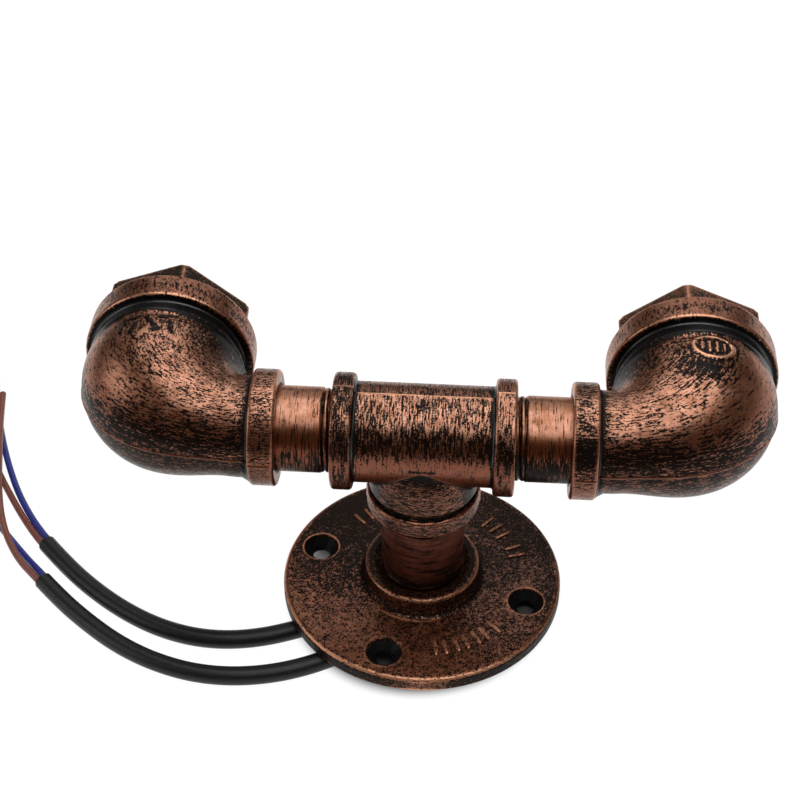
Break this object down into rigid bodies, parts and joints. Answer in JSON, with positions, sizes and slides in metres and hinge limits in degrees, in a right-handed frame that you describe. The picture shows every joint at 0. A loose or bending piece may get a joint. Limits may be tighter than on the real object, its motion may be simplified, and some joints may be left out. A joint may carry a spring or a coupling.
{
  "type": "pipe wall light",
  "caption": "Wall light of copper-finished pipe fittings: a round screw flange carries a stem and tee, and each arm ends in a reducing elbow whose hexagonal mouth holds a lampholder.",
  "frame": {"origin": "centre of the wall flange's back face, on the stem's axis and in the plane of the wall", "axes": "+Z out of the wall along the stem, +X along the run of the tee, +Y the way the lamp mouths point"},
  "size_m": [0.2928, 0.1534, 0.1079],
  "materials": {
    "flange_copper": "dark antique copper, brushed over black, satin",
    "casting_copper": "antique copper, brushed over black, satin",
    "pipe_copper": "antique copper, brushed round the pipe, satin",
    "hex_copper": "antique copper, speckled with black, satin",
    "porcelain": "glazed",
    "shell_metal": "rolled and plated",
    "contact_metal": "sprung sheet",
    "terminal_metal": "machined",
    "steel": "zinc plated",
    "fibre": "matt",
    "grommet_rubber": "matt",
    "sheath": "smooth, satin",
    "blue_insulation": "smooth",
    "brown_insulation": "smooth",
    "conductor_copper": "bare copper wire"
  },
  "bodies": {
    "flange": {"wall_flange": "flange_copper", "left_cable": "sheath", "right_cable": "sheath", "left_core_blue": "blue_insulation", "left_core_brown": "brown_insulation", "right_core_brown": "brown_insulation", "right_core_blue": "blue_insulation", "conductor_ends": "conductor_copper"},
    "crossbar": {"stem_nipple": "pipe_copper", "pipe_tee": "casting_copper", "cable_grommet": "grommet_rubber", "left_stem_lead": "sheath", "right_stem_lead": "sheath"},
    "left_head": {"left_arm_nipple": "pipe_copper", "left_elbow": "casting_copper", "left_hex_bush": "hex_copper", "left_retaining_ring": "steel", "left_holder_body": "porcelain", "left_screw_shell": "shell_metal", "left_holder_cap": "fibre", "left_cap_screw": "steel", "left_terminals": "terminal_metal", "left_terminal_screws": "steel", "left_contact_foot": "contact_metal", "left_contact_rivets": "terminal_metal", "left_lead": "sheath", "left_lead_brown": "brown_insulation", "left_lead_blue": "blue_insulation"},
    "left_contact": {"left_centre_contact": "contact_metal"},
    "right_head": {"right_arm_nipple": "pipe_copper", "right_elbow": "casting_copper", "right_hex_bush": "hex_copper", "right_retaining_ring": "steel", "right_holder_body": "porcelain", "right_screw_shell": "shell_metal", "right_holder_cap": "fibre", "right_cap_screw": "steel", "right_terminals": "terminal_metal", "right_terminal_screws": "steel", "right_contact_foot": "contact_metal", "right_contact_rivets": "terminal_metal", "right_lead": "sheath", "right_lead_brown": "brown_insulation", "right_lead_blue": "blue_insulation"},
    "right_contact": {"right_centre_contact": "contact_metal"}
  },
  "joints": [
    {"name": "crossbar_turn", "type": "hinge", "parent": "flange", "child": "crossbar", "pos_m": [0, 0, 0], "axis": [0, 0, 1], "range_deg": [-90, 90]},
    {"name": "left_head_turn", "type": "hinge", "parent": "crossbar", "child": "left_head", "pos_m": [0, 0, 0.068], "axis": [1, 0, 0], "range_deg": [-15, 195]},
    {"name": "left_contact_press", "type": "hinge", "parent": "left_head", "child": "left_contact", "pos_m": [-0.0812, 0.02465, 0.068], "axis": [0, 0, 1], "range_deg": [0, 12], "stiffness_Nm_per_rad": 0.085},
    {"name": "right_head_turn", "type": "hinge", "parent": "crossbar", "child": "right_head", "pos_m": [0, 0, 0.068], "axis": [1, 0, 0], "range_deg": [-15, 195]},
    {"name": "right_contact_press", "type": "hinge", "parent": "right_head", "child": "right_contact", "pos_m": [0.0812, 0.02465, 0.068], "axis": [0, 0, -1], "range_deg": [0, 12], "stiffness_Nm_per_rad": 0.085}
  ]
}
